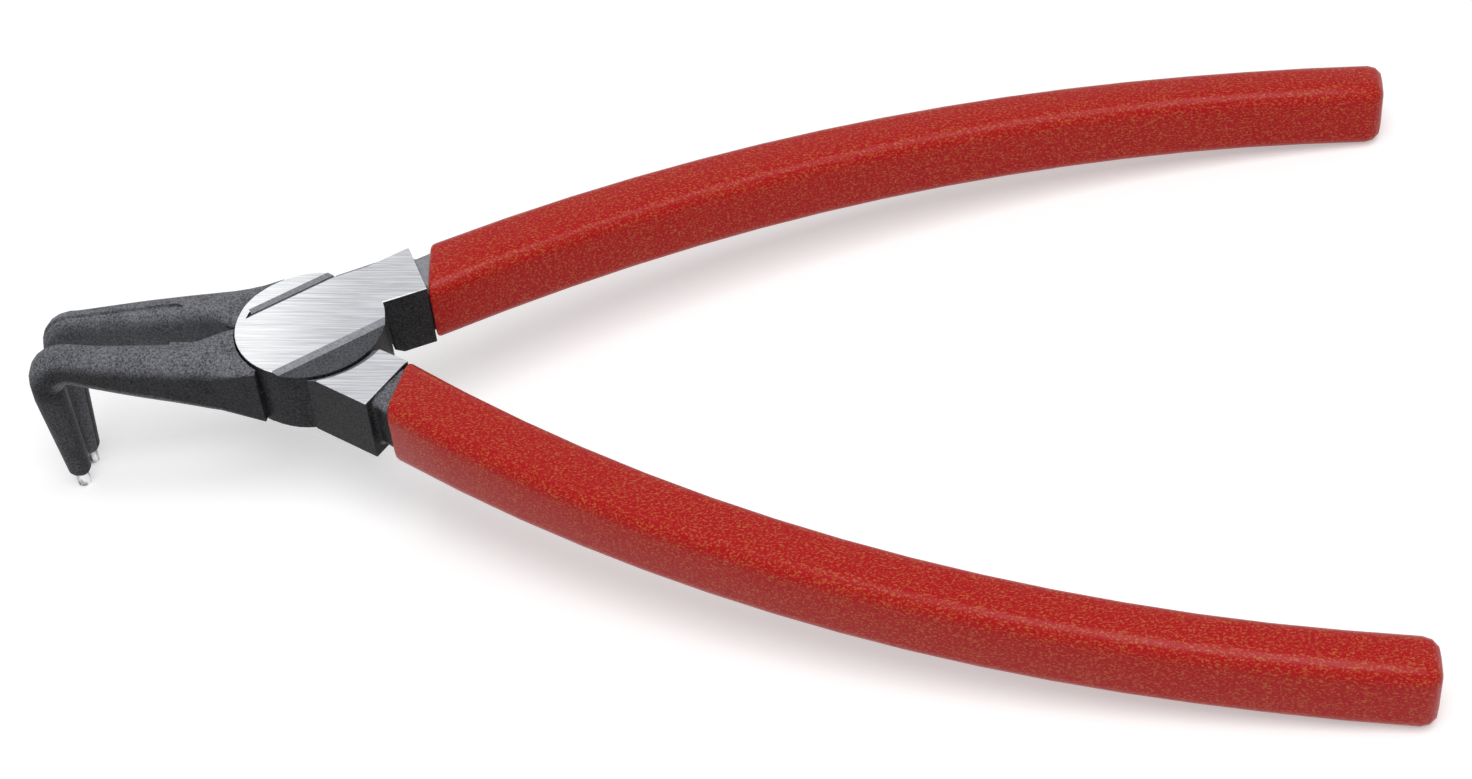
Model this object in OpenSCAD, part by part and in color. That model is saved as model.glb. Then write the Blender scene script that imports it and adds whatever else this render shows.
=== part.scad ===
// External circlip pliers with tips bent through a right angle.
// Two forged levers turn on a lap joint. Each lever stays on its own side of
// the pivot, so squeezing the handles spreads the tips.
// Frame: pivot axis on Z, ground front face of the joint at Z = 0,
// handles towards +X, jaws towards -X, tips pointing to -Z.

/* [Reach] */
// Distance from the pivot axis to the axis of the tip pins
tip_reach = 36.75; // [33:0.05:42]
// Distance from the pivot axis to the handle ends
handle_reach = 140.8; // [125:0.1:160]
// Distance from the middle plane to a handle end, tips closed
handle_spread = 52.4; // [46:0.1:58]
// Lean of a handle where it leaves the joint
handle_lean = 33.5; // [30:0.5:37]
// Lean of a handle at its end
end_lean = 2.6; // [0:0.1:8]

/* [Lap joint] */
// Thickness of the joint over its two ground faces
joint_t = 9.6; // [9.2:0.1:10.4]
// Radius of the two joint discs
disc_r = 9.9; // [9.6:0.1:10.6]
// Axial running gap between the two discs
joint_gap = 0.06; // [0.04:0.01:0.12]
// Radial gap between a disc and the jaw of the other lever
jaw_seat_gap = 0.2; // [0.1:0.05:0.4]
// Radial gap between a disc and the handle block of the other lever
block_seat_gap = 0.25; // [0.15:0.05:0.5]
// Width of the bevel along the block's seat
seat_bevel_w = 1.25; // [0.8:0.05:1.6]
// Depth of the bevel along the block's seat
seat_bevel_d = 0.85; // [0.5:0.05:1.2]
// Gap between the closed jaws next to the joint
parting_gap = 0.3; // [0.2:0.05:0.6]

/* [Handle blocks] */
// How far the outer corner of a block stands out from the disc
block_outer = 8.4; // [7.6:0.1:9.2]
// How far the inner corner of a block stands out from the disc
block_inner = 6.05; // [5.6:0.05:6.6]
// Angle of the outer corner about the pivot
block_outer_angle = 55.3; // [53:0.1:57]
// Angle of the inner corner about the pivot
block_inner_angle = 25.8; // [25:0.1:28]
// Radius of the fillet between a block and its tang
neck_fillet = 0.5; // [0.3:0.05:0.5]

/* [Ground band on the front disc] */
// Direction of the band
band_angle = 39.5; // [35:0.5:44]
// Distance from the pivot axis to the lower edge of the band
band_low = 5.25; // [4.8:0.05:5.8]
// Distance from the pivot axis to the upper edge of the band
band_high = 6; // [5.4:0.05:6.4]
// Width of the groove along the upper edge
groove_w = 1.4; // [1.2:0.05:1.6]
// Depth of the groove
groove_d = 0.65; // [0.6:0.05:1]
// Size of the chamfer along the groove's far wall
groove_chamfer = 0.5; // [0.3:0.05:0.5]
// Depth of the unground crescent below the band
crescent_d = 0.5; // [0.3:0.05:0.8]

/* [Jaws] */
// How far the jaws lie below the ground faces
jaw_drop = 0.36; // [0.2:0.02:0.6]
// Half width of the closed jaws next to the joint
jaw_root_w = 9.4; // [9:0.1:9.6]
// Half width of the closed jaws where they part
jaw_part_w = 8.05; // [7.6:0.05:8.4]
// Half width of the closed jaws at the bend
jaw_bend_w = 5.45; // [5.2:0.05:5.8]
// Half of the widest gap between the jaws
jaw_gape = 2.4; // [2:0.1:2.6]
// Half of the gap between the jaws at the bend
bend_gape = 1.8; // [1.5:0.05:2]
// Depth of the forged step along the inner edge of a jaw
step_d = 0.4; // [0.2:0.05:0.5]
// Width of the forged step where it begins
step_root_w = 2.3; // [1.9:0.05:2.4]
// Width of the forged step at the bend
step_bend_w = 1; // [0.8:0.05:1.2]
// Thickness of a jaw at the bend
jaw_bend_t = 6; // [5.6:0.1:6.6]
// Outer radius of the bend
bend_outer_r = 6; // [5:0.1:6.4]
// Inner radius of the bend
bend_inner_r = 1.3; // [1:0.1:1.8]
// Width of a bent leg at the bend
leg_root_w = 4.3; // [4:0.1:4.6]
// Width of a bent leg at its end
leg_end_w = 3; // [2.8:0.05:3.4]
// Distance from the middle plane to the middle of a leg at the bend
leg_root_y = 3.6; // [3.4:0.05:3.8]
// Depth of the leg ends below the ground front face
leg_depth = 26.2; // [23:0.1:30]

/* [Tip pins] */
// Diameter of a tip pin
pin_d = 1.8; // [1.5:0.05:1.9]
// Length of a tip pin outside its leg
pin_out = 2.4; // [1.8:0.1:3.2]
// Length of the spigot that holds a tip pin in its leg
pin_in = 5; // [4:0.1:6]
// Diameter of the pressed-in spigot
spigot_d = 1.4; // [1.2:0.05:1.45]
// Distance from the middle plane to the axis of a tip pin
pin_y = 2.17; // [2:0.01:2.4]
// Chamfer on the end of a tip pin
pin_chamfer = 0.2; // [0.1:0.05:0.3]

/* [Grips] */
// Width of a grip next to the joint
grip_root_w = 9.36; // [8.8:0.02:9.8]
// Width of a grip at its end
grip_end_w = 6.82; // [6.4:0.02:8]
// Thickness of a grip
grip_t = 9.9; // [9.4:0.1:10.4]
// Wall of the dipped grip
grip_wall = 1; // [0.7:0.05:1.2]
// Radius along the grip's edges
grip_edge_r = 2.25; // [1.8:0.05:2.6]
// Radius round the grip's closed end
grip_end_r = 2.1; // [1.4:0.1:2.2]
// Rounding of the grip's open mouth
mouth_r = 0.5; // [0.3:0.05:0.6]
// Gap from the block's inner corner to the grip's mouth
mouth_gap = 0.25; // [0.15:0.05:0.6]
// Skew of the grip's mouth, in X per width
mouth_skew = 0.14; // [0:0.02:0.2]
// Swelling of the grip's width at its end
grip_swell = 0.5; // [0:0.05:0.8]
// Height of the grips' middle plane over that of the joint
grip_lift = 0.25; // [0:0.05:0.4]
// Vinyl in front of the end of the tang
grip_cap = 2.6; // [2.2:0.1:4]

/* [Pivot rivet] */
// Diameter of the rivet's shank
rivet_d = 6; // [5.4:0.1:6.4]
// Diameter of the rivet's head
head_d = 9; // [8.4:0.1:9.4]
// Thickness of the rivet's head
head_t = 1.4; // [1.2:0.05:1.5]
// Radial running clearance of the shank in the lower lever
rivet_clear = 0.04; // [0.02:0.01:0.08]
// Clearance round and under the head
head_clear = 0.08; // [0.05:0.01:0.15]
// Metal left in front of the blind bore
front_skin = 1.3; // [1.1:0.05:1.5]
// Clearance past the end of the shank in the blind bore
shank_end_clear = 0.1; // [0.05:0.05:0.2]

/* [Return spring] */
// Diameter of the spring wire
wire_d = 1; // [0.8:0.05:1.05]
// Mean radius of the coil
coil_r = 6; // [5.9:0.05:6.2]
// Distance between turns
coil_pitch = 1.14; // [1.1:0.02:1.2]
// Length of each straight spring leg past the coil
spring_leg = 1.7; // [1.5:0.05:1.8]
// Clearance round the coil in its cavity
coil_clear = 0.25; // [0.15:0.05:0.3]
// Clearance at each end of the coil in its cavity
coil_end_clear = 0.12; // [0.06:0.02:0.2]
// Clearance round and past a spring leg in its hole
spring_leg_clear = 0.1; // [0.05:0.05:0.15]

/* [Hidden] */

$fn = 96;
eps = 0.01;
corner_steps = 5;
half_t = joint_t / 2;

// Colours as on the tool
black_steel = "#3d3e41";
ground_steel = "#c9cbce";
spring_steel = "#8d8f93";
red_vinyl = "#ad2a26";

// Corners of the upper handle block
block_root_angle = 82.4;
block_throat_angle = 24.8;
block_a = polar(disc_r + block_outer, block_outer_angle);
block_b = polar(disc_r + block_inner, block_inner_angle);

// Curve of the upper handle between its root and its end
handle_root = polar(disc_r + 6.1, 40.25);
handle_run = handle_reach - handle_root.x;
mouth_x = block_b.x + mouth_gap - mouth_skew * grip_root_w * 0.55;
skew_run = 12;
tang_end_x = handle_reach - grip_cap;

// End of the upper handle block, and where the handle's centre line meets it
block_mid = (block_a + block_b) / 2;
block_edge = (block_a - block_b) / norm(block_a - block_b);
block_normal = [block_edge.y, -block_edge.x];
neck_slope = [1, handle_slope(block_mid.x)];
neck_off = block_mid - [block_mid.x, handle_y(block_mid.x)];
neck_mid = block_mid - neck_off + neck_slope * (neck_off * block_normal) / (neck_slope * block_normal);

// Stations of the jaw
jaw_root_x = -0.556 * disc_r;
jaw_part_x = -(disc_r + 1.9);
jaw_bend_x = leg_root_w / 2 + bend_inner_r - tip_reach + 0.1;
jaw_root_h = half_t - jaw_drop;
jaw_bend_h = jaw_bend_t / 2;
leg_end_z = half_t - leg_depth;
leg_rim = 0.28;

// Cavity and coil of the return spring
coil_turns = 2.25;
coil_rise = coil_turns * coil_pitch;
cavity_depth = (coil_rise + wire_d) / 2 + coil_end_clear;
wire_sides = 8;
rings_per_turn = 20;

function polar(r, a) = [r * cos(a), r * sin(a)];
function mix(a, b, t) = a + (b - a) * t;
function clamp01(t) = max(0, min(1, t));
function ease(t) = let (c = clamp01(t)) c * c * (3 - 2 * c);

// Quarter ellipse of a rounded section, as [across, along] points
function corner(y, u, ry, ru, from) = [
    for (i = [0 : corner_steps])
        let (a = from + 90 * i / corner_steps)
        [y + ry * cos(a), u + ru * sin(a)]
];

// Section with half sizes hw and hh and the same radius at every corner
function rounded(hw, hh, r) = concat(
    corner(hw - r, hh - r, r, r, 0),
    corner(r - hw, hh - r, r, r, 90),
    corner(r - hw, r - hh, r, r, 180),
    corner(hw - r, r - hh, r, r, 270)
);

// Section of a jaw between yi and yo, h to either side. The outer upper edge is rounded
// over crown = [across, down]. The inner upper edge is lip = [land, run, fall, step]: a step
// down at the land, then an edge rounded over run and fall. The lower edges have radius r.
function jaw_section(yi, yo, h, crown, lip, r) =
    let (
        land = yi + lip[0],
        foot = h - lip[3]
    )
    concat(
        corner(yo - crown[0], h - crown[1], crown[0], crown[1], 0),
        [[land, h], [land - step_slant, foot]],
        corner(yi + lip[1], foot - lip[2], lip[1], lip[2], 90),
        corner(yi + r, r - h, r, r, 180),
        corner(yo - r, r - h, r, r, 270)
    );

// Height of the handle's centre line over the middle plane, and its slope
function handle_y(x) =
    let (t = (x - handle_root.x) / handle_run)
    (2 * t^3 - 3 * t^2 + 1) * handle_root.y
    + (t^3 - 2 * t^2 + t) * handle_run * tan(handle_lean)
    + (3 * t^2 - 2 * t^3) * handle_spread
    + (t^3 - t^2) * handle_run * tan(end_lean);
function handle_slope(x) = (handle_y(x + 0.05) - handle_y(x - 0.05)) / 0.1;

// Width of a grip along its length, t = 0 at its mouth
function grip_w(t) = mix(grip_root_w, grip_end_w, t) + grip_swell * ease((t - 0.8) / 0.2);

// Ring of a handle at x, set in by a distance from the grip's surface
function handle_ring(x, inset) =
    let (
        t = clamp01((x - mouth_x) / (handle_reach - mouth_x)),
        slope = handle_slope(x),
        skew = mouth_skew * clamp01(1 - (x - mouth_x) / skew_run),
        hw = (grip_w(t) / 2 - inset) * sqrt(1 + slope^2) / (1 + slope * skew),
        hh = grip_t / 2 - inset,
        r = max(grip_edge_r - inset, 0.5),
        y = handle_y(x)
    )
    [for (p = rounded(hw, hh, r)) [x + skew * p[0], y - p[0], p[1] + grip_lift]];

// Ring of a tang next to its block, parallel to the block's end: a distance out past that
// end and grown round its section, both fading towards the inner side
function neck_ring(out, grow) =
    let (
        hw = grip_root_w / 2 - grip_wall,
        hh = grip_t / 2 - grip_wall,
        r = max(grip_edge_r - grip_wall, 0.5),
        plain = rounded(hw, hh, r),
        grown = rounded(hw + grow, hh + grow, r + grow)
    )
    [
        for (i = [0 : len(plain) - 1])
            let (
                fade = 0.55 - 0.45 * plain[i][0] / hw,
                p = mix(plain[i], grown[i], fade),
                c = neck_mid - block_edge * p[0] + block_normal * out * (out > 0 ? fade : 1)
            )
            [c.x, c.y, p[1] + grip_lift]
    ];

// Ring of a jaw between two [x, z] points on its outer and inner curve
function jaw_ring(top, bottom, yi, yo, crown, lip, r) =
    let (
        mid = (top + bottom) / 2,
        h = norm(top - bottom) / 2,
        e = (top - bottom) / (2 * h)
    )
    [
        for (p = jaw_section(yi, yo, h, crown, lip, r))
            [mid.x + e.x * p[1], p[0], mid.y + e.y * p[1]]
    ];

// Half gap between the jaws at x
open_start = -(disc_r - 0.4);
open_end = -(disc_r + 5.6);
function jaw_in(x) = mix(
    parting_gap / 2,
    mix(jaw_gape, bend_gape, clamp01((x - open_end) / (jaw_bend_x - open_end))),
    ease((x - open_start) / (open_end - open_start))
);

// Half width and half thickness along a jaw, t = 0 where the jaws part
function jaw_out(t) = mix(jaw_part_w, jaw_bend_w, t) + 0.25 * sin(180 * t);
function jaw_h(t) = mix(jaw_root_h, jaw_bend_h, t);

// Land of a jaw's upper face: the step begins with a rounded end and narrows to the bend
step_t = 0.3;
hook_t = 0.1;
step_slant = 0.12;
root_land = 1.7;
hook_land = 1.3;
function jaw_land(t) =
    let (
        run = clamp01((t - step_t) / (1 - step_t)),
        hook = 1 - clamp01((t - step_t) / hook_t)
    )
    t > step_t
        ? mix(step_root_w, step_bend_w, run) - (step_root_w - hook_land) * (1 - sqrt(1 - hook^2))
        : mix(root_land, hook_land, ease(t / step_t));

// Inner upper edge of a jaw: land, run and fall of the rounding, and step
edge_run = 1.3;
edge_fall = 2.8;
function jaw_edge(t) =
    let (land = jaw_land(t))
    [
        land,
        min(edge_run, land - 0.2),
        mix(1.6, edge_fall, ease(t / step_t)),
        t > step_t ? step_d : 0
    ];

// Rounding of the outer upper edge of a jaw and of a leg, across and down
root_crown = [3.2, 0.5];
jaw_crown = [2.4, 3.1];
leg_crown = [1.85, 1.85];

function root_rings() = [
    for (t = [0, 0.4, 0.7, 0.85])
        let (x = mix(jaw_root_x, jaw_part_x, t))
        jaw_ring(
            [x, jaw_root_h],
            [x, -jaw_root_h],
            jaw_in(x),
            mix(jaw_root_w, jaw_part_w, t),
            mix(root_crown, jaw_crown, t),
            jaw_edge(0),
            mix(0.3, 1.4, t)
        )
];

function straight_rings() = [
    for (t = [0, 0.06, 0.12, 0.18, step_t, for (k = [0.01, 0.03, 0.06, 0.1]) step_t + k,
        0.52, 0.64, 0.76, 0.88, 1])
        let (x = mix(jaw_part_x, jaw_bend_x, t))
        jaw_ring(
            [x, jaw_h(t)],
            [x, -jaw_h(t)],
            jaw_in(x),
            jaw_out(t),
            jaw_crown,
            jaw_edge(t),
            mix(1.4, 1.9, ease(t / step_t))
        )
];

function bend_rings() =
    let (
        outer_c = [bend_outer_r - tip_reach - leg_root_w / 2, jaw_bend_h - bend_outer_r],
        inner_c = [bend_inner_r - tip_reach + leg_root_w / 2, -jaw_bend_h - bend_inner_r]
    )
    [
        for (a = [15 : 15 : 90])
            let (
                d = [-sin(a), cos(a)],
                t = a / 90,
                yc = mix((bend_gape + jaw_bend_w) / 2, leg_root_y, t),
                hw = mix((jaw_bend_w - bend_gape) / 2, leg_root_w / 2 - 0.1, t)
            )
            jaw_ring(
                outer_c + bend_outer_r * d,
                inner_c + bend_inner_r * d,
                yc - hw,
                yc + hw,
                mix(jaw_crown, leg_crown, t),
                [
                    mix(step_bend_w, 1.5, t),
                    mix(step_bend_w - 0.2, 1.3, t),
                    mix(edge_fall, 1.8, t),
                    step_d * (1 - ease((a - 45) / 45))
                ],
                1.85
            )
    ];

function leg_rings() =
    let (z0 = -jaw_bend_h - bend_inner_r - 1.2)
    [
        for (t = [0, 0.5, 0.96, 1])
            let (
                z = mix(z0, leg_end_z, t),
                trim = t == 1 ? leg_rim : 0,
                hw = mix(leg_root_w, leg_end_w, t) / 2 - trim,
                yc = mix(leg_root_y, pin_y, t),
                r = hw * 0.88
            )
            jaw_ring(
                [-tip_reach - hw, z],
                [-tip_reach + hw, z],
                yc - hw,
                yc + hw,
                [r, r],
                [r + 0.2, r, r, 0],
                r
            )
    ];

// Closed solid through a row of rings with as many points each
module skin(rings) {
    n = len(rings[0]);
    last = (len(rings) - 1) * n;
    sides = [
        for (i = [0 : len(rings) - 2])
            for (j = [0 : n - 1])
                let (
                    k = (j + 1) % n,
                    a = i * n + j,
                    b = i * n + k
                )
                each [[a, b, b + n], [a, b + n, a + n]]
    ];
    first_cap = [for (j = [n - 1 : -1 : 0]) j];
    last_cap = [for (j = [0 : n - 1]) last + j];
    polyhedron(
        points = [for (r = rings) each r],
        faces = concat(sides, [first_cap, last_cap]),
        convexity = 8
    );
}

// Moves a piece from the joint's middle plane to the frame of the part
module on_joint() {
    translate([0, 0, -half_t])
        children();
}

// Space that the other lever's disc turns in, below the middle plane
module other_disc(gap) {
    translate([0, 0, -half_t - 1])
        cylinder(r = disc_r + gap, h = half_t + 1 + joint_gap / 2);
}

// Bevel along the seat of a handle block, on the lower ground face
module seat_bevel() {
    inner = disc_r + block_seat_gap - 0.2;
    slant = seat_bevel_d / seat_bevel_w;
    rotate_extrude()
        polygon([
            [0, -half_t - 1],
            [inner + 0.2 + seat_bevel_w + 1 / slant, -half_t - 1],
            [inner, -half_t + seat_bevel_d + 0.2 * slant],
            [0, -half_t + seat_bevel_d + 0.2 * slant]
        ]);
}

// Disc and handle block of the upper lever, about the joint's middle plane
module lever_body() {
    translate([0, 0, joint_gap / 2])
        cylinder(r = disc_r, h = half_t - joint_gap / 2);
    difference() {
        translate([0, 0, -half_t])
            linear_extrude(joint_t)
                polygon([
                    polar(disc_r * 0.5, 50),
                    polar(disc_r, block_throat_angle),
                    block_b,
                    block_a,
                    polar(disc_r + 0.15, block_root_angle)
                ]);
        other_disc(block_seat_gap);
        seat_bevel();
    }
}

// Jaw and bent leg on the upper side of the middle plane
module jaw_blank() {
    skin(concat(root_rings(), straight_rings(), bend_rings(), leg_rings()));
}

// Stations along the part of a tang that its grip covers
function tang_stations() = [for (i = [0 : 14]) mix(mouth_x, tang_end_x, i / 14)];

// Tang of the upper lever, from inside its block to the closed end of the grip
module tang() {
    skin([
        neck_ring(-1, neck_fillet),
        for (a = [0 : 30 : 90]) neck_ring(neck_fillet * (1 - cos(a)) + eps, neck_fillet * (1 - sin(a))),
        for (x = tang_stations()) handle_ring(x, grip_wall)
    ]);
}

// Annular half of the spring cavity, on the upper side of the middle plane
module cavity() {
    translate([0, 0, -eps])
        rotate_extrude()
            translate([coil_r - wire_d / 2 - coil_clear, 0])
                square([wire_d + 2 * coil_clear, cavity_depth + eps]);
}

// Blind hole for the spigot of the upper tip pin
module tip_hole() {
    translate([-tip_reach, pin_y, leg_end_z - 1])
        cylinder(d = spigot_d, h = pin_in + 1, $fn = 32);
}

// Groove above the band, open at the outer wall, with a chamfer along its far wall, and the
// unground crescent below
module band_cuts() {
    floor_y = band_high + groove_w - groove_chamfer;
    rotate([0, 0, band_angle]) {
        translate([0, 0, half_t - groove_d])
            linear_extrude(groove_d + 1)
                polygon([
                    [-0.65 * disc_r, band_high],
                    [0.7 * disc_r, band_high],
                    [1.15 * disc_r, band_high - 0.85],
                    [1.75 * disc_r, band_high - 0.95],
                    [1.75 * disc_r, band_high + 4],
                    [0.74 * disc_r, band_high + 4],
                    [0.74 * disc_r, floor_y],
                    [-0.55 * disc_r, floor_y]
                ]);
        translate([-0.53 * disc_r, 0, half_t])
            rotate([90, 0, 90])
                linear_extrude(1.29 * disc_r)
                    polygon([
                        [floor_y - 0.2, -groove_chamfer - 0.2],
                        [floor_y + groove_chamfer + 1, 1],
                        [floor_y - 0.2, 1]
                    ]);
        translate([-disc_r - 1, 0, half_t])
            rotate([90, 0, 90])
                linear_extrude(2 * disc_r + 2)
                    polygon([
                        [-band_low, 0],
                        [-band_low, 1],
                        [-disc_r - 1, 1],
                        [-disc_r - 1, -crescent_d],
                        [-band_low - 1.6 * crescent_d, -crescent_d]
                    ]);
    }
}

module upper_lever() {
    color(black_steel)
        on_joint()
            difference() {
                union() {
                    difference() {
                        union() {
                            lever_body();
                            difference() {
                                jaw_blank();
                                other_disc(jaw_seat_gap);
                            }
                        }
                        band_cuts();
                    }
                    tang();
                }
                cavity();
                translate([0, 0, -1])
                    cylinder(d = rivet_d, h = half_t - front_skin + 1);
                rotate([0, 0, 360 * coil_turns])
                    translate([coil_r, 0, 0])
                        cylinder(
                            d = wire_d + 2 * spring_leg_clear,
                            h = coil_rise / 2 + spring_leg + spring_leg_clear,
                            $fn = 32
                        );
                tip_hole();
            }
}

module lower_lever() {
    color(black_steel)
        on_joint()
            difference() {
                union() {
                    rotate([180, 0, 0])
                        lever_body();
                    mirror([0, 1, 0]) {
                        difference() {
                            jaw_blank();
                            mirror([0, 0, 1])
                                other_disc(jaw_seat_gap);
                        }
                        tang();
                    }
                }
                mirror([0, 0, 1])
                    cavity();
                translate([0, 0, -half_t - 1])
                    cylinder(d = rivet_d + 2 * rivet_clear, h = half_t + 2);
                translate([0, 0, -half_t - 1])
                    cylinder(d = head_d + 2 * head_clear, h = head_t + head_clear + 1);
                translate([coil_r, 0, -coil_rise / 2 - spring_leg - spring_leg_clear])
                    cylinder(
                        d = wire_d + 2 * spring_leg_clear,
                        h = coil_rise / 2 + spring_leg + spring_leg_clear,
                        $fn = 32
                    );
                mirror([0, 1, 0])
                    tip_hole();
            }
}

// Shank pressed into the upper lever, head flush with the back of the lower one
module pivot_rivet() {
    color(ground_steel)
        on_joint()
            translate([0, 0, -half_t]) {
                cylinder(d = head_d, h = head_t);
                cylinder(d = rivet_d, h = joint_t - front_skin - shank_end_clear);
            }
}

// Round wire along the coil, with a straight leg into each lever
module return_spring() {
    count = round(coil_turns * rings_per_turn);
    color(spring_steel)
        on_joint() {
            skin([
                for (i = [0 : count])
                    let (
                        a = 360 * coil_turns * i / count,
                        z = coil_rise * (i / count - 0.5)
                    )
                    [
                        for (j = [0 : wire_sides - 1])
                            let (
                                b = 360 * j / wire_sides,
                                r = coil_r + wire_d / 2 * cos(b)
                            )
                            [r * cos(a), r * sin(a), z + wire_d / 2 * sin(b)]
                    ]
            ]);
            for (s = [-1, 1])
                rotate([0, 0, s > 0 ? 360 * coil_turns : 0])
                    translate([coil_r, 0, s * coil_rise / 2])
                        rotate([s > 0 ? 0 : 180, 0, 0])
                            cylinder(d = wire_d, h = spring_leg, $fn = 32);
        }
}

// Spring-steel pin: its shoulder seats on the end of the upper leg, its spigot is pressed in
module tip_pin() {
    color(ground_steel)
        on_joint()
            translate([-tip_reach, pin_y, leg_end_z - pin_out])
                rotate_extrude($fn = 48)
                    polygon([
                        [0, 0],
                        [pin_d / 2 - pin_chamfer, 0],
                        [pin_d / 2, pin_chamfer],
                        [pin_d / 2, pin_out],
                        [spigot_d / 2, pin_out],
                        [spigot_d / 2, pin_out + pin_in],
                        [0, pin_out + pin_in]
                    ]);
}

module upper_tip_pin() {
    tip_pin();
}

module lower_tip_pin() {
    mirror([0, 1, 0])
        tip_pin();
}

// Dipped vinyl sleeve: its inside follows the tang, its end is closed and rounded
module grip() {
    inside = tang_stations();
    outside_end = handle_reach - grip_end_r;
    color(red_vinyl)
        on_joint()
            skin([
                for (i = [len(inside) - 1 : -1 : 0]) handle_ring(inside[i], grip_wall),
                for (a = [0 : 30 : 90])
                    handle_ring(
                        mouth_x + mouth_r * (1 - cos(a)),
                        mouth_r * (1 - sin(a))
                    ),
                for (i = [1 : 15])
                    handle_ring(mix(mouth_x + mouth_r, outside_end, i / 15), 0),
                for (a = [30 : 30 : 90])
                    handle_ring(
                        outside_end + grip_end_r * sin(a),
                        grip_end_r * (1 - cos(a))
                    )
            ]);
}

module upper_grip() {
    grip();
}

module lower_grip() {
    mirror([0, 1, 0])
        grip();
}

lower_lever();
upper_lever();
pivot_rivet();
return_spring();
lower_tip_pin();
upper_tip_pin();
lower_grip();
upper_grip();
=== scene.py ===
"""Looks of external circlip pliers with bent tips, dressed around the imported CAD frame."""

import logging
import math
from dataclasses import dataclass
from enum import Enum
from typing import Any

import bmesh
import bpy
from mathutils import Matrix, Vector
from mathutils.geometry import intersect_point_line


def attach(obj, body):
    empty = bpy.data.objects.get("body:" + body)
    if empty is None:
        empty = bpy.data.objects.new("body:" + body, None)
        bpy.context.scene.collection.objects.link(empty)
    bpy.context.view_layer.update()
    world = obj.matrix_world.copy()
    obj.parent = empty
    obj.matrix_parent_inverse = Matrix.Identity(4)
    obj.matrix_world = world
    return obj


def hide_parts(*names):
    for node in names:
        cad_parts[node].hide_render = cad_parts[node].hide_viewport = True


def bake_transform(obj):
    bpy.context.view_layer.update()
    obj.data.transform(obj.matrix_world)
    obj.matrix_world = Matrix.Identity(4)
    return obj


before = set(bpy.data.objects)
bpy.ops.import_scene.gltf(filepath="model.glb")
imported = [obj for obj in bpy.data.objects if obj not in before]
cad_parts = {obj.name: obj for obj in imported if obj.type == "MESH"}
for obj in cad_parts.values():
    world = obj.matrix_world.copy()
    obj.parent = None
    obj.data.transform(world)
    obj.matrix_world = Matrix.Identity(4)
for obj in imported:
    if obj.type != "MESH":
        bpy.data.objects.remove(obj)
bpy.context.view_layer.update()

LOG = logging.getLogger("circlip_pliers")
MM = 0.001
WHITE = (1.0, 1.0, 1.0, 1.0)

# The middle of a pattern's values, over which the roughness changes
PATTERN_MIDDLE = (0.3, 0.7)

# Shares of an edge's length at which the room beside it is measured
PLACES_ALONG = (0.02, 0.25, 0.5, 0.75, 0.98)

# Corners of the CAD mesh's loose triangles that are one corner, in millimetres
SAME_CORNER = 0.0005


class Side(Enum):
    """The two halves of the pliers, by the CAD body that each rides on."""

    LOWER = "lower"
    UPPER = "upper"


class Coat(Enum):
    """Places in a lever's material slots."""

    PHOSPHATE = 0
    GROUND = 1
    BLASTED_AND_LIT = 2
    RECESS = 3
    RUBBED_AND_LIT = 4


def linear(hex_colour: str) -> tuple[float, float, float, float]:
    """Turns an sRGB hex colour into a linear shader colour.

    Args:
        hex_colour: Six hex digits with a leading hash sign.

    Returns:
        Linear red, green and blue, and an alpha of 1.
    """
    values = [int(hex_colour[i : i + 2], 16) / 255 for i in (1, 3, 5)]
    r, g, b = (v / 12.92 if v <= 0.04045 else ((v + 0.055) / 1.055) ** 2.4 for v in values)
    return r, g, b, 1.0


def per_mm(size: float) -> float:
    """Gives the texture scale, per metre, of a feature of that size in millimetres."""
    return 1 / (size * MM)


def add_node(
    tree: bpy.types.NodeTree,
    kind: str,
    inputs: dict[Any, Any] | None = None,
    stops: list[tuple[float, str]] | None = None,
    **settings: Any,
) -> bpy.types.Node:
    """Adds a shader node with its settings and links.

    Args:
        tree: The node tree that gets the node.
        kind: Blender's name of the node's type.
        inputs: Values or output sockets for the node's inputs, by name or number.
        stops: Rising places and their sRGB hex colours, where the node has a colour ramp.
        **settings: Properties of the node itself.

    Returns:
        The new node.
    """
    made = tree.nodes.new(kind)
    for name, value in settings.items():
        setattr(made, name, value)
    for key, value in (inputs or {}).items():
        if isinstance(value, bpy.types.NodeSocket):
            tree.links.new(value, made.inputs[key])
        else:
            made.inputs[key].default_value = value
    if stops:
        elements = made.color_ramp.elements
        while len(elements) < len(stops):
            elements.new(1.0)
        for element, (place, colour) in zip(elements, stops):
            element.position = place
            element.color = linear(colour)
    return made


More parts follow.
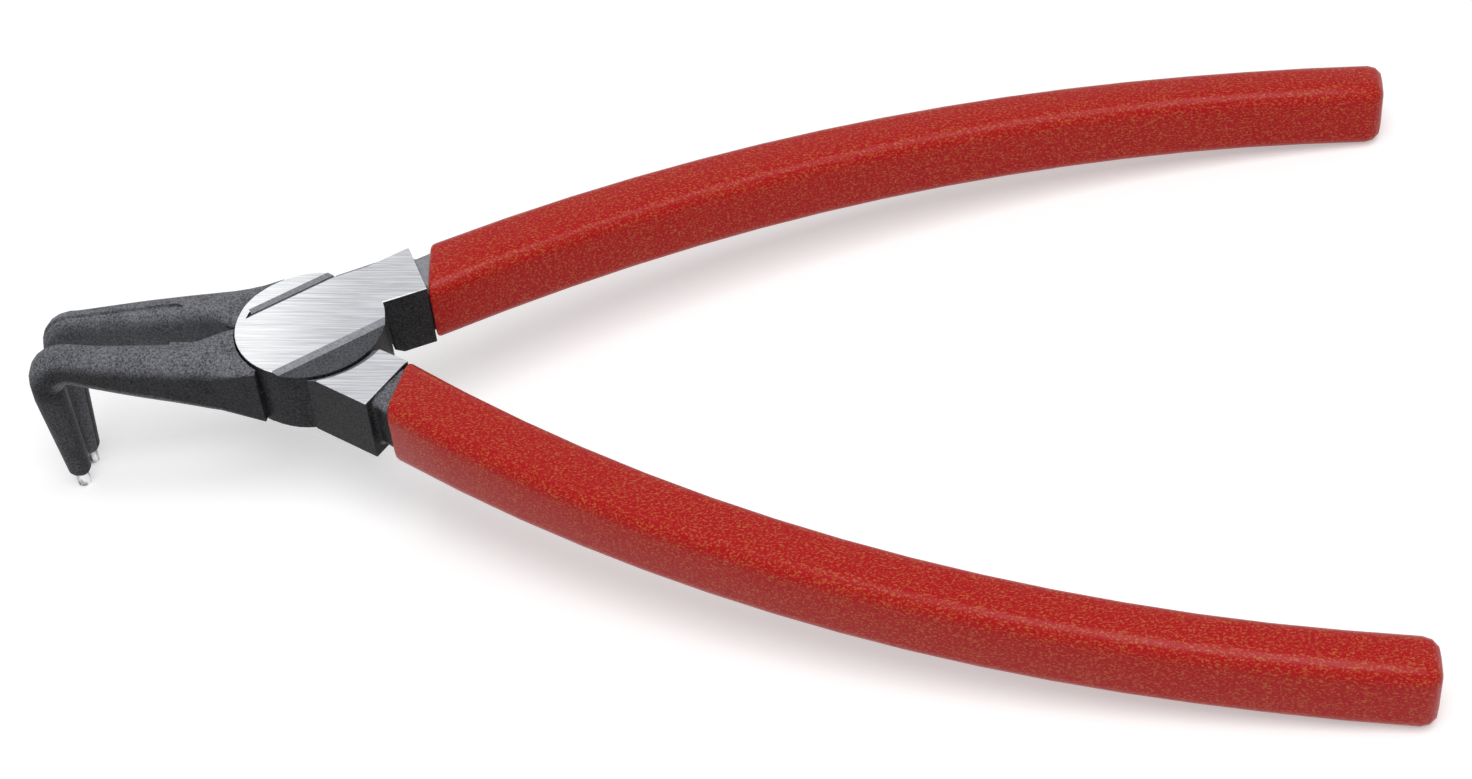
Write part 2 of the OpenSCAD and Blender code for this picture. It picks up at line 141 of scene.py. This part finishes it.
@dataclass(frozen=True)
class Finish:
    """A material's name and range of roughness, and how every finish starts and ends."""

    name: str
    roughness: tuple[float, float]

    def open_material(self) -> tuple[bpy.types.Material, bpy.types.NodeTree, bpy.types.NodeSocket]:
        """Starts a node material.

        Returns:
            The material, its emptied node tree and the Object coordinates' socket.
        """
        material = bpy.data.materials.new(self.name)
        material.use_nodes = True
        tree = material.node_tree
        tree.nodes.clear()
        place = add_node(tree, "ShaderNodeTexCoord").outputs["Object"]
        return material, tree, place

    def close_material(
        self, tree: bpy.types.NodeTree, pattern: bpy.types.NodeSocket, inputs: dict[str, Any]
    ) -> None:
        """Ends a node material with its shader, whose roughness follows a pattern.

        Args:
            tree: The material's node tree.
            pattern: The pattern that the range of roughness is spread over.
            inputs: Values or sockets for the Principled shader's other inputs.
        """
        (start, end), (first, last) = PATTERN_MIDDLE, self.roughness
        roughness = add_node(
            tree,
            "ShaderNodeMapRange",
            {"Value": pattern, "From Min": start, "From Max": end, "To Min": first, "To Max": last},
        ).outputs["Result"]
        shader = add_node(tree, "ShaderNodeBsdfPrincipled", {"Roughness": roughness, **inputs})
        add_node(tree, "ShaderNodeOutputMaterial", {"Surface": shader.outputs["BSDF"]})


@dataclass(frozen=True)
class PhosphatedSteel(Finish):
    """Forged steel, shot-blasted and black-phosphated: a fine grain, with painted light that makes
    faces turned up or down paler and side faces darker.
    """

    roughness: tuple[float, float] = (0.42, 0.54)
    # Painted light: tones of flat faces lit paler and of side faces in shade, and the upward normal
    # where the lit tone is full
    lit_flats: tuple[str, str] = ("#404145", "#85868c")
    shaded_sides: tuple[str, str] = ("#101011", "#3c3c3f")
    tones_at: tuple[float, float] = (0.38, 0.62)
    lit_from: float = 0.48
    grain_mm: float = 0.27
    blotch_mm: float = 4.0
    blotch_share: float = 0.2
    bump: float = 0.35
    bump_mm: float = 0.05
    specular: float = 0.1

    def painted_top_light(self, tree: bpy.types.NodeTree) -> bpy.types.NodeSocket:
        """Paints light by the face's normal: faces turned up or down lit, side faces in shade.

        Args:
            tree: The material's node tree.

        Returns:
            A socket that goes from 0 on shaded side faces to 1 on lit flat faces.
        """
        normal = add_node(tree, "ShaderNodeTexCoord").outputs["Normal"]
        height = add_node(tree, "ShaderNodeSeparateXYZ", {"Vector": normal}).outputs["Z"]
        either_way = add_node(tree, "ShaderNodeMath", {0: height}, operation="ABSOLUTE")
        return add_node(
            tree,
            "ShaderNodeMapRange",
            {"Value": either_way.outputs["Value"], "From Min": 0.0, "From Max": self.lit_from},
            interpolation_type="SMOOTHSTEP",
        ).outputs["Result"]

    def build(self) -> bpy.types.Material:
        """Makes the material.

        Returns:
            The finished material.
        """
        material, tree, place = self.open_material()
        # Blasting grit of about a quarter of a millimetre
        grain = add_node(
            tree,
            "ShaderNodeTexNoise",
            {"Vector": place, "Scale": per_mm(self.grain_mm), "Detail": 3.0, "Roughness": 0.6},
        ).outputs["Fac"]
        # Uneven take-up of the phosphate over a few millimetres
        blotch = add_node(
            tree,
            "ShaderNodeTexNoise",
            {"Vector": place, "Scale": per_mm(self.blotch_mm), "Detail": 2.0},
        ).outputs["Fac"]
        both = add_node(
            tree,
            "ShaderNodeMix",
            {"Factor": self.blotch_share, "A": grain, "B": blotch},
            data_type="FLOAT",
        ).outputs["Result"]
        # Painted light: a lit tone for flat faces and a shaded tone for side faces, blended by the
        # face's normal
        shaded_tone, lit_tone = (
            add_node(
                tree, "ShaderNodeValToRGB", {"Fac": both}, stops=list(zip(self.tones_at, tones))
            ).outputs["Color"]
            for tones in (self.shaded_sides, self.lit_flats)
        )
        colour = add_node(
            tree,
            "ShaderNodeMixRGB",
            {"Fac": self.painted_top_light(tree), "Color1": shaded_tone, "Color2": lit_tone},
        ).outputs["Color"]
        relief = add_node(
            tree,
            "ShaderNodeBump",
            {"Height": grain, "Strength": self.bump, "Distance": self.bump_mm * MM},
        ).outputs["Normal"]
        self.close_material(
            tree,
            blotch,
            {"Base Color": colour, "Normal": relief, "Specular IOR Level": self.specular},
        )
        return material


@dataclass(frozen=True)
class GroundSteel(Finish):
    """Steel ground on a belt: straight fine scratches, with a painted reflection that makes it
    whiter towards the jaws.
    """

    roughness: tuple[float, float] = (0.32, 0.44)
    # Painted reflection: white tones towards the jaws, grey towards the handles, blended from
    # white_x to grey_x
    white: tuple[str, str] = ("#d6d8dc", "#fbfcfd")
    white_at: tuple[float, float] = (0.32, 0.6)
    white_x: float = -8.0
    grey: tuple[str, str] = ("#a7a9ae", "#dadbdf")
    grey_at: tuple[float, float] = (0.32, 0.64)
    grey_x: float = 6.0
    scratch_mm: float = 0.24
    stretch: float = 45.0
    turn: float = 1.2
    bump: float = 0.12
    bump_mm: float = 0.02

    def build(self) -> bpy.types.Material:
        """Makes the material.

        Returns:
            The finished material.
        """
        material, tree, place = self.open_material()
        # Scratches a quarter of a millimetre apart, so that they show in the picture
        along = add_node(
            tree,
            "ShaderNodeMapping",
            {
                "Vector": place,
                "Rotation": (0.0, 0.0, math.radians(self.turn)),
                "Scale": (1 / self.stretch, 1.0, 1.0),
            },
        ).outputs["Vector"]
        scratch = add_node(
            tree,
            "ShaderNodeTexNoise",
            {"Vector": along, "Scale": per_mm(self.scratch_mm), "Detail": 4.0, "Roughness": 0.65},
        ).outputs["Fac"]
        # Painted reflection: the steel fades from white to grey towards the handles, over about the
        # joint's width
        painted_glare_fade = add_node(
            tree,
            "ShaderNodeMapRange",
            {
                "Value": add_node(tree, "ShaderNodeSeparateXYZ", {"Vector": place}).outputs["X"],
                "From Min": self.white_x * MM,
                "From Max": self.grey_x * MM,
            },
            interpolation_type="SMOOTHSTEP",
        ).outputs["Result"]
        white, grey = (
            add_node(
                tree, "ShaderNodeValToRGB", {"Fac": scratch}, stops=list(zip(places, tones))
            ).outputs["Color"]
            for places, tones in ((self.white_at, self.white), (self.grey_at, self.grey))
        )
        colour = add_node(
            tree, "ShaderNodeMixRGB", {"Fac": painted_glare_fade, "Color1": white, "Color2": grey}
        ).outputs["Color"]
        relief = add_node(
            tree,
            "ShaderNodeBump",
            {"Height": scratch, "Strength": self.bump, "Distance": self.bump_mm * MM},
        ).outputs["Normal"]
        self.close_material(
            tree, scratch, {"Base Color": colour, "Normal": relief, "Metallic": 1.0}
        )
        return material


@dataclass(frozen=True)
class TurnedSteel(Finish):
    """Bright steel turned on a lathe: fine rings round the pivot's axis."""

    roughness: tuple[float, float] = (0.22, 0.34)
    dark: str = "#9fa1a6"
    light: str = "#d6d7da"
    ring_mm: float = 0.4
    wobble: float = 0.6

    def build(self) -> bpy.types.Material:
        """Makes the material.

        Returns:
            The finished material.
        """
        material, tree, place = self.open_material()
        # Feed marks, drawn 0.4 mm apart so that they show; rings lie pi / 10 apart at scale 1
        rings = add_node(
            tree,
            "ShaderNodeTexWave",
            {
                "Vector": place,
                "Scale": per_mm(self.ring_mm) * math.pi / 10,
                "Distortion": self.wobble,
                "Detail": 2.0,
            },
            wave_type="RINGS",
            rings_direction="Z",
        ).outputs["Fac"]
        colour = add_node(
            tree,
            "ShaderNodeValToRGB",
            {"Fac": rings},
            stops=[(0.1, self.dark), (0.9, self.light)],
        ).outputs["Color"]
        self.close_material(tree, rings, {"Base Color": colour, "Metallic": 1.0})
        return material


@dataclass(frozen=True)
class DrawnSteel(Finish):
    """Bright-drawn steel of the tip pins: glossy, with dark marks along the pin that are painted
    reflections.
    """

    roughness: tuple[float, float] = (0.26, 0.14)
    dark: str = "#47484b"
    grey: str = "#bcbdc0"
    light: str = "#eeeeef"
    reflection_mm: float = 0.8
    stretch: float = 3.0

    def build(self) -> bpy.types.Material:
        """Makes the material.

        Returns:
            The finished material.
        """
        material, tree, place = self.open_material()
        # Painted dark reflections, drawn out along the pin, nearly half as coarse as the pin is
        # thick so that they show
        along = add_node(
            tree,
            "ShaderNodeMapping",
            {"Vector": place, "Scale": (1.0, 1.0, 1 / self.stretch)},
        ).outputs["Vector"]
        painted_reflection = add_node(
            tree,
            "ShaderNodeTexNoise",
            {"Vector": along, "Scale": per_mm(self.reflection_mm), "Detail": 2.0},
        ).outputs["Fac"]
        colour = add_node(
            tree,
            "ShaderNodeValToRGB",
            {"Fac": painted_reflection},
            stops=[(0.38, self.dark), (0.5, self.grey), (0.62, self.light)],
        ).outputs["Color"]
        self.close_material(tree, painted_reflection, {"Base Color": colour, "Metallic": 1.0})
        return material


@dataclass(frozen=True)
class SpringWire(Finish):
    """Oil-tempered spring wire: grey, drawn smooth."""

    roughness: tuple[float, float] = (0.28, 0.4)
    dark: str = "#6f7176"
    light: str = "#9a9ca1"
    mottle_mm: float = 0.4

    def build(self) -> bpy.types.Material:
        """Makes the material.

        Returns:
            The finished material.
        """
        material, tree, place = self.open_material()
        # Temper colours that change over a little less than half the wire's thickness
        mottle = add_node(
            tree,
            "ShaderNodeTexNoise",
            {"Vector": place, "Scale": per_mm(self.mottle_mm), "Detail": 2.0},
        ).outputs["Fac"]
        colour = add_node(
            tree,
            "ShaderNodeValToRGB",
            {"Fac": mottle},
            stops=[(0.35, self.dark), (0.65, self.light)],
        ).outputs["Color"]
        self.close_material(tree, mottle, {"Base Color": colour, "Metallic": 1.0})
        return material


@dataclass(frozen=True)
class DippedVinyl(Finish):
    """Plasticised PVC dipped on the handle: satin red with a fine wavy ochre fleck."""

    roughness: tuple[float, float] = (0.28, 0.36)
    deep: str = "#ac0b14"
    body: str = "#af1a19"
    fleck: str = "#b95831"
    fleck_mm: float = 0.21
    squeeze: float = 0.6
    wave: float = 0.8
    cloud_mm: float = 9.0
    bump: float = 0.2
    bump_mm: float = 0.05
    specular: float = 0.16

    def build(self) -> bpy.types.Material:
        """Makes the material.

        Returns:
            The finished material.
        """
        material, tree, place = self.open_material()
        # Flecks a fifth of a millimetre thick, drawn out along the handle
        along = add_node(
            tree, "ShaderNodeMapping", {"Vector": place, "Scale": (self.squeeze, 1.0, 1.0)}
        ).outputs["Vector"]
        fleck = add_node(
            tree,
            "ShaderNodeTexNoise",
            {
                "Vector": along,
                "Scale": per_mm(self.fleck_mm),
                "Detail": 0.0,
                "Distortion": self.wave,
            },
        ).outputs["Fac"]
        # The dip runs a little duller and glossier over about the handle's width
        cloud = add_node(
            tree,
            "ShaderNodeTexNoise",
            {"Vector": place, "Scale": per_mm(self.cloud_mm), "Detail": 2.0},
        ).outputs["Fac"]
        colour = add_node(
            tree,
            "ShaderNodeValToRGB",
            {"Fac": fleck},
            stops=[(0.42, self.deep), (0.55, self.body), (0.7, self.fleck)],
        ).outputs["Color"]
        relief = add_node(
            tree,
            "ShaderNodeBump",
            {"Height": fleck, "Strength": self.bump, "Distance": self.bump_mm * MM},
        ).outputs["Normal"]
        self.close_material(
            tree,
            cloud,
            {"Base Color": colour, "Normal": relief, "Specular IOR Level": self.specular},
        )
        return material


def copy_of_node(node: str) -> bmesh.types.BMesh:
    """Copies a CAD node's mesh and merges its loose triangles.

    Args:
        node: The CAD node's name.

    Returns:
        A closed bmesh in the frame's place.
    """
    shape = bmesh.new()
    shape.from_mesh(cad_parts[node].data)
    bmesh.ops.remove_doubles(shape, verts=shape.verts, dist=SAME_CORNER * MM)
    return shape


def shade_by_angle(shape: bmesh.types.BMesh, degrees: float) -> None:
    """Shades a shape smooth, with sharp edges past an angle.

    Args:
        shape: The shape to shade.
        degrees: The angle from which an edge stays sharp.
    """
    for face in shape.faces:
        face.smooth = True
    for edge in shape.edges:
        edge.smooth = edge.is_manifold and edge.calc_face_angle(0.0) < math.radians(degrees)


def place_piece(
    name: str, shape: bmesh.types.BMesh, materials: list[bpy.types.Material]
) -> bpy.types.Object:
    """Turns a shape into an object of the scene.

    Args:
        name: The piece's name.
        shape: The shape, which is freed.
        materials: The materials for its slots.

    Returns:
        The new object, at the origin.
    """
    mesh = bpy.data.meshes.new(name)
    shape.to_mesh(mesh)
    shape.free()
    for material in materials:
        mesh.materials.append(material)
    piece = bpy.data.objects.new(name, mesh)
    bpy.context.scene.collection.objects.link(piece)
    return piece


@dataclass
class Lever:
    """A forged lever with its jaw, joint disc, handle block and tang, in millimetres."""

    side: Side
    coats: list[bpy.types.Material]
    joint_t: float = 9.6
    disc_r: float = 9.9
    cavity_r: float = 9.0
    cut_low: float = 0.8
    jaw_from: float = -11.0
    slit_to: float = -9.3
    riser: float = 0.5
    # The lip under the bend: the x and z of its box's corners, and its width
    lip_low: tuple[float, float] = (-33.7, -7.9)
    lip_high: tuple[float, float] = (-33.1, -7.75)
    lip: float = 0.16
    # Broken edges: the bevel, the least turn in degrees and the room beside an edge
    bevel: float = 0.12
    bevel_from: float = 38.0
    clear: float = 0.13
    # Slivers that the bevel leaves, and how many bevels deep a ground face's rim goes
    speck: float = 0.002
    rim_bevels: float = 1.1
    # What counts as at the rim or seam, in the ground face's skin, off level, or cut in
    near: float = 0.3
    skin: float = 0.2
    slack: float = 0.1
    sunk: float = 0.05
    # Parts of a face's normal: upwards on a chamfer, upwards on a riser, to the other jaw
    chamfer_up: tuple[float, float] = (0.25, 0.97)
    riser_up: float = 0.35
    inward: float = 0.2
    # Degrees: the turn within one plane, and the largest turn that shades smooth
    plane_turn: float = 0.6
    smooth_to: float = 40.0

    def close_lip(self, shape: bmesh.types.BMesh) -> None:
        """Closes the thin lip where the jaw's two lower roundings cross at the bend.

        Args:
            shape: The lever's merged mesh.
        """
        (x0, z0), (x1, z1) = self.lip_low, self.lip_high
        verts = [v for v in shape.verts if x0 < v.co.x / MM < x1 and z0 < v.co.z / MM < z1]
        bmesh.ops.remove_doubles(shape, verts=verts, dist=self.lip * MM)

    def is_outer(self, edge: bmesh.types.BMEdge) -> bool:
        """Tells an open machined edge from those of the jaw, slit, groove and joint.

        Args:
            edge: An edge of the lever.

        Returns:
            Whether the edge is one that the maker breaks.
        """
        start, end = (vert.co for vert in edge.verts)
        middle = (start + end) / (2 * MM)
        drop = abs(start.z - end.z) / MM
        radius = math.hypot(middle.x, middle.y)
        depth = min(-middle.z, middle.z + self.joint_t)
        near_disc = radius < self.disc_r + self.near
        on_jaw = middle.x < self.jaw_from and middle.z > -self.joint_t
        in_slit = middle.x < self.slit_to and depth > self.skin
        in_joint = radius < self.cavity_r and depth > self.near
        at_seam = near_disc and depth > self.joint_t / 2 - self.near
        at_run_out = near_disc and drop > self.slack and -middle.z < self.cut_low
        in_groove = (
            middle.y > 0.0
            and -middle.z < self.cut_low + self.slack
            and (radius < self.disc_r - self.skin or (near_disc and depth > self.skin))
        )
        return not (on_jaw or in_slit or in_joint or at_seam or at_run_out or in_groove)

    def room_beside(self, edge: bmesh.types.BMEdge) -> float:
        """Measures how far the faces beside an edge reach, square to it.

        Args:
            edge: An edge of the lever.

        Returns:
            The least reach, in millimetres.
        """
        start, end = (vert.co for vert in edge.verts)
        line = (end - start).normalized()
        least = math.inf
        for face in edge.link_faces:
            for other in face.edges:
                if other is edge:
                    continue
                first, last = (vert.co for vert in other.verts)
                for share in PLACES_ALONG:
                    point = start.lerp(end, share)
                    along = intersect_point_line(point, first, last)[1]
                    gap = first.lerp(last, min(1.0, max(0.0, along))) - point
                    # Only what lies more beside the edge than ahead of it counts
                    if abs(gap.dot(line)) < 0.5 * gap.length:
                        least = min(least, gap.length)
        return least / MM

    def edges_to_bevel(self, shape: bmesh.types.BMesh) -> list[bmesh.types.BMEdge]:
        """Finds the sharp, open machined edges with room for the bevel.

        Args:
            shape: The lever's merged mesh.

        Returns:
            The edges to break.
        """
        limit = math.radians(self.bevel_from)
        return [
            edge
            for edge in shape.edges
            if edge.is_manifold
            and edge.calc_face_angle_signed(0.0) > limit
            and self.is_outer(edge)
            and self.room_beside(edge) > self.clear
        ]

    def break_edges(self, shape: bmesh.types.BMesh) -> None:
        """Bevels the open machined edges.

        Args:
            shape: The lever's merged mesh.
        """
        bmesh.ops.dissolve_limit(
            shape,
            angle_limit=math.radians(self.plane_turn),
            verts=shape.verts,
            edges=shape.edges,
        )
        bmesh.ops.bevel(
            shape,
            geom=self.edges_to_bevel(shape),
            offset=self.bevel * MM,
            offset_type="OFFSET",
            affect="EDGES",
            segments=2,
            profile=0.5,
            material=-1,
            clamp_overlap=False,
        )
        bmesh.ops.dissolve_degenerate(shape, dist=self.speck * MM, edges=shape.edges)

    def is_jaw_top(self, face: bmesh.types.BMFace) -> bool:
        """Tells a jaw's upper face, outside the disc on the jaw's side, from the disc's cuts."""
        middle = face.calc_center_median() / MM
        return middle.x < 0.0 and math.hypot(middle.x, middle.y) > self.disc_r

    def is_inner_jaw(self, face: bmesh.types.BMFace) -> bool:
        """Tells a jaw's faces that are turned to the other jaw and rub when the jaws close, whose
        lighter coat is also painted light against the shade between the jaws.
        """
        towards = face.normal.y if self.side is Side.LOWER else -face.normal.y
        return face.calc_center_median().x < self.jaw_from * MM and towards > self.inward

    def coat_of(self, face: bmesh.types.BMFace) -> Coat:
        """Tells ground faces with their edges, cuts beside the band and rubbed jaws apart; the
        groove and the jaws' inner faces also get painted light.

        Args:
            face: A face of the lever, with its bevels.

        Returns:
            The face's coat.
        """
        rim = self.rim_bevels * self.bevel
        middle = face.calc_center_median()
        heights = [vert.co.z / MM for vert in face.verts]
        low, high = min(heights), max(heights)
        on_front = low > -rim
        on_back = low > -self.joint_t - rim and high < rim - self.joint_t
        if on_front or on_back:
            return Coat.GROUND
        on_disc = self.side is Side.UPPER and middle.x > self.jaw_from * MM
        if on_disc and low > -self.cut_low:
            least, most = self.chamfer_up
            if least < face.normal.z < most and high > -self.skin:
                return Coat.BLASTED_AND_LIT
            # Sunk faces: in the groove a paler coat as painted light that lifts its shade, in the
            # crescent the recess tone
            if high < -self.sunk and not self.is_jaw_top(face):
                return Coat.BLASTED_AND_LIT if middle.y > 0.0 else Coat.RECESS
        # Faces towards the other jaw: rubbed grey, and also painted lighter to lift the shade
        # between the jaws
        if self.is_inner_jaw(face):
            on_riser = high - low < self.riser and face.normal.z < self.riser_up
            return Coat.RECESS if on_riser else Coat.RUBBED_AND_LIT
        return Coat.PHOSPHATE

    def build(self) -> bpy.types.Object:
        """Makes the lever's piece in place of its CAD node.

        Returns:
            The lever.
        """
        node = f"{self.side.value}_lever"
        shape = copy_of_node(node)
        self.close_lip(shape)
        self.break_edges(shape)
        for face in shape.faces:
            face.material_index = self.coat_of(face).value
        shade_by_angle(shape, self.smooth_to)
        piece = place_piece(f"{node}_forging", shape, self.coats)
        # The wide faces shade flat, and the bevels take the whole turn
        piece.modifiers.new("weighted_normal", "WEIGHTED_NORMAL").keep_sharp = True
        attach(piece, self.side.value)
        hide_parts(node)
        return piece


@dataclass
class Grip:
    """A vinyl sleeve dipped on a handle."""

    side: Side
    vinyl: bpy.types.Material
    smooth_to: float = 60.0

    def build(self) -> bpy.types.Object:
        """Makes the grip's piece in place of its CAD node.

        Returns:
            The grip.
        """
        node = f"{self.side.value}_grip"
        shape = copy_of_node(node)
        shade_by_angle(shape, self.smooth_to)
        piece = place_piece(f"{node}_sleeve", shape, [self.vinyl])
        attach(piece, self.side.value)
        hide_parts(node)
        return piece


@dataclass
class ReturnSpring:
    """The torsion spring round the rivet, with a leg in each lever."""

    wire: bpy.types.Material
    coil_low: float = -6.08
    coil_high: float = -3.52
    smooth_to: float = 40.0

    def build(self) -> bpy.types.Object:
        """Makes the spring's piece in place of its CAD node.

        Returns:
            The spring, with its place baked into its mesh.
        """
        node = "return_spring"
        shape = copy_of_node(node)
        shade_by_angle(shape, self.smooth_to)
        piece = place_piece(f"{node}_wire", shape, [self.wire])
        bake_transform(piece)
        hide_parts(node)
        return piece


@dataclass
class CarriedNode:
    """A CAD node that shows as it is, with a better finish."""

    node: str
    finish: bpy.types.Material

    def build(self) -> bpy.types.Object:
        """Gives the node its finish.

        Returns:
            The CAD node's object.
        """
        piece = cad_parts[self.node]
        piece.material_slots[0].material = self.finish
        return piece


@dataclass
class Viewpoint:
    """The camera at the photograph's viewing angle, in degrees and millimetres."""

    azimuth: float = 9.856
    elevation: float = 43.541
    roll: float = -5.971
    aim: tuple[float, float, float] = (56.453, -6.684, -4.55)
    distance: float = 361.31
    lens: float = 69.26
    sensor: float = 36.0
    clip: tuple[float, float] = (10.0, 20000.0)

    def build(self) -> bpy.types.Object:
        """Makes the camera and sets it in the scene.

        Returns:
            The camera.
        """
        azimuth, elevation = math.radians(self.azimuth), math.radians(self.elevation)
        back = Vector(
            (
                math.sin(azimuth) * math.cos(elevation),
                -math.cos(azimuth) * math.cos(elevation),
                math.sin(elevation),
            )
        )
        level = (-back).cross(Vector((0.0, 0.0, 1.0))).normalized()
        upright = level.cross(-back)
        turn = math.radians(self.roll)
        right = level * math.cos(turn) + upright * math.sin(turn)
        up = upright * math.cos(turn) - level * math.sin(turn)
        place = (Vector(self.aim) + back * self.distance) * MM
        data = bpy.data.cameras.new("viewpoint")
        data.sensor_width = self.sensor
        data.lens = self.lens
        data.clip_start, data.clip_end = (reach * MM for reach in self.clip)
        camera = bpy.data.objects.new("viewpoint", data)
        axes = Matrix((right, up, back)).transposed().to_4x4()
        camera.matrix_world = Matrix.Translation(place) @ axes
        bpy.context.scene.collection.objects.link(camera)
        bpy.context.scene.camera = camera
        return camera


@dataclass
class Studio:
    """A pale floor that the pliers lie on, a white surround and one large soft lamp."""

    # Where the front tip pin and the handle ends meet the floor: x and z in millimetres
    tip_low: tuple[float, float] = (-36.75, -28.6)
    end_low: tuple[float, float] = (139.0, -9.5)
    paper: str = "#e6e6e6"
    paper_roughness: float = 0.9
    # Strengths of the sky's light and of the floor's own white
    sky: float = 0.36
    floor_lift: float = 0.38
    # Watts and metres
    floor_size: float = 6.0
    lamp_power: float = 4.3
    lamp_size: tuple[float, float] = (0.5, 0.6)
    lamp_at: tuple[float, float, float] = (0.1, -0.24, 0.75)
    lamp_aim: tuple[float, float, float] = (0.05, 0.0, 0.0)

    def background(self, tree: bpy.types.NodeTree) -> bpy.types.NodeSocket:
        """Tells the rays that show the background from those that light the object.

        Args:
            tree: The node tree to work in.

        Returns:
            A socket that is 1 for camera, glossy and transmission rays.
        """
        path = add_node(tree, "ShaderNodeLightPath")
        seen = add_node(
            tree,
            "ShaderNodeMath",
            {0: path.outputs["Is Camera Ray"], 1: path.outputs["Is Glossy Ray"]},
            operation="MAXIMUM",
        ).outputs["Value"]
        return add_node(
            tree,
            "ShaderNodeMath",
            {0: seen, 1: path.outputs["Is Transmission Ray"]},
            operation="MAXIMUM",
        ).outputs["Value"]

    def build_sky(self) -> None:
        """Makes the world: soft light, and white behind the object."""
        world = bpy.data.worlds.new("studio")
        bpy.context.scene.world = world
        world.use_nodes = True
        tree = world.node_tree
        tree.nodes.clear()
        strength = add_node(
            tree,
            "ShaderNodeMix",
            {"Factor": self.background(tree), "A": self.sky, "B": 1.0},
            data_type="FLOAT",
        ).outputs["Result"]
        shader = add_node(tree, "ShaderNodeBackground", {"Color": WHITE, "Strength": strength})
        add_node(tree, "ShaderNodeOutputWorld", {"Surface": shader.outputs["Background"]})

    def paper_material(self) -> bpy.types.Material:
        """Makes the floor's matt paper, which looks white and keeps the shadow.

        Returns:
            The finished material.
        """
        material = bpy.data.materials.new("matt_paper")
        material.use_nodes = True
        tree = material.node_tree
        tree.nodes.clear()
        lift = add_node(
            tree,
            "ShaderNodeMath",
            {0: self.background(tree), 1: self.floor_lift},
            operation="MULTIPLY",
        ).outputs["Value"]
        shader = add_node(
            tree,
            "ShaderNodeBsdfPrincipled",
            {
                "Base Color": linear(self.paper),
                "Roughness": self.paper_roughness,
                "Specular IOR Level": 0.0,
                "Emission Color": WHITE,
                "Emission Strength": lift,
            },
        )
        add_node(tree, "ShaderNodeOutputMaterial", {"Surface": shader.outputs["BSDF"]})
        return material

    def build_floor(self) -> bpy.types.Object:
        """Makes the floor under the tips and the handle ends.

        Returns:
            The floor.
        """
        (x0, z0), (x1, z1) = self.tip_low, self.end_low
        slope = math.atan2(z1 - z0, x1 - x0)
        shape = bmesh.new()
        bmesh.ops.create_grid(shape, x_segments=1, y_segments=1, size=self.floor_size / 2)
        bmesh.ops.rotate(shape, verts=shape.verts, matrix=Matrix.Rotation(-slope, 3, "Y"))
        bmesh.ops.translate(shape, verts=shape.verts, vec=Vector((x0, 0.0, z0)) * MM)
        floor = place_piece("floor", shape, [self.paper_material()])
        return floor

    def build_lamp(self) -> bpy.types.Object:
        """Makes the large soft box above and before the pliers.

        Returns:
            The lamp.
        """
        data = bpy.data.lights.new("soft_box", "AREA")
        data.shape = "RECTANGLE"
        data.size, data.size_y = self.lamp_size
        data.energy = self.lamp_power
        lamp = bpy.data.objects.new("soft_box", data)
        lamp.location = self.lamp_at
        sight = Vector(self.lamp_aim) - Vector(self.lamp_at)
        lamp.rotation_euler = sight.to_track_quat("-Z", "Y").to_euler()
        bpy.context.scene.collection.objects.link(lamp)
        return lamp


def main() -> None:
    """Builds the pliers' pieces, the studio and the camera."""
    logging.basicConfig(level=logging.INFO, format="%(name)s: %(message)s")
    bpy.context.scene.view_settings.view_transform = "Standard"
    finishes = {
        Coat.PHOSPHATE: PhosphatedSteel("phosphated_steel"),
        Coat.GROUND: GroundSteel("ground_steel"),
        # Chamfers, blasted paler than the forging, and the groove, whose paler coat is painted
        # light that lifts its shade
        Coat.BLASTED_AND_LIT: PhosphatedSteel(
            "blasted_and_lit_steel", lit_flats=("#82848a", "#a0a2a8"), shaded_sides=("#5b5d62", "#74767b")
        ),
        # The sunk crescent and the jaws' risers, where the black stays
        Coat.RECESS: PhosphatedSteel(
            "recess_steel", lit_flats=("#3b3c40", "#5e5f64"), shaded_sides=("#2a2b2d", "#4a4b4f")
        ),
        # The faces between the jaws, rubbed grey, and lighter too as painted light that lifts the
        # shade between the jaws
        Coat.RUBBED_AND_LIT: PhosphatedSteel("rubbed_and_lit_steel", shaded_sides=("#46474a", "#707176")),
    }
    coats = [finishes[coat].build() for coat in Coat]
    vinyl = DippedVinyl("dipped_vinyl").build()
    pieces: list[bpy.types.Object] = []
    for side in Side:
        pieces.append(Lever(side, coats).build())
        pieces.append(Grip(side, vinyl).build())
    drawn = DrawnSteel("drawn_steel").build()
    for side in Side:
        pieces.append(CarriedNode(f"{side.value}_tip_pin", drawn).build())
    pieces.append(CarriedNode("pivot_rivet", TurnedSteel("turned_steel").build()).build())
    pieces.append(ReturnSpring(SpringWire("spring_wire").build()).build())
    for piece in pieces:
        LOG.info("%s: %d faces", piece.name, len(piece.data.polygons))
    studio = Studio()
    studio.build_sky()
    studio.build_floor()
    studio.build_lamp()
    Viewpoint().build()


if __name__ == "__main__":
    main()
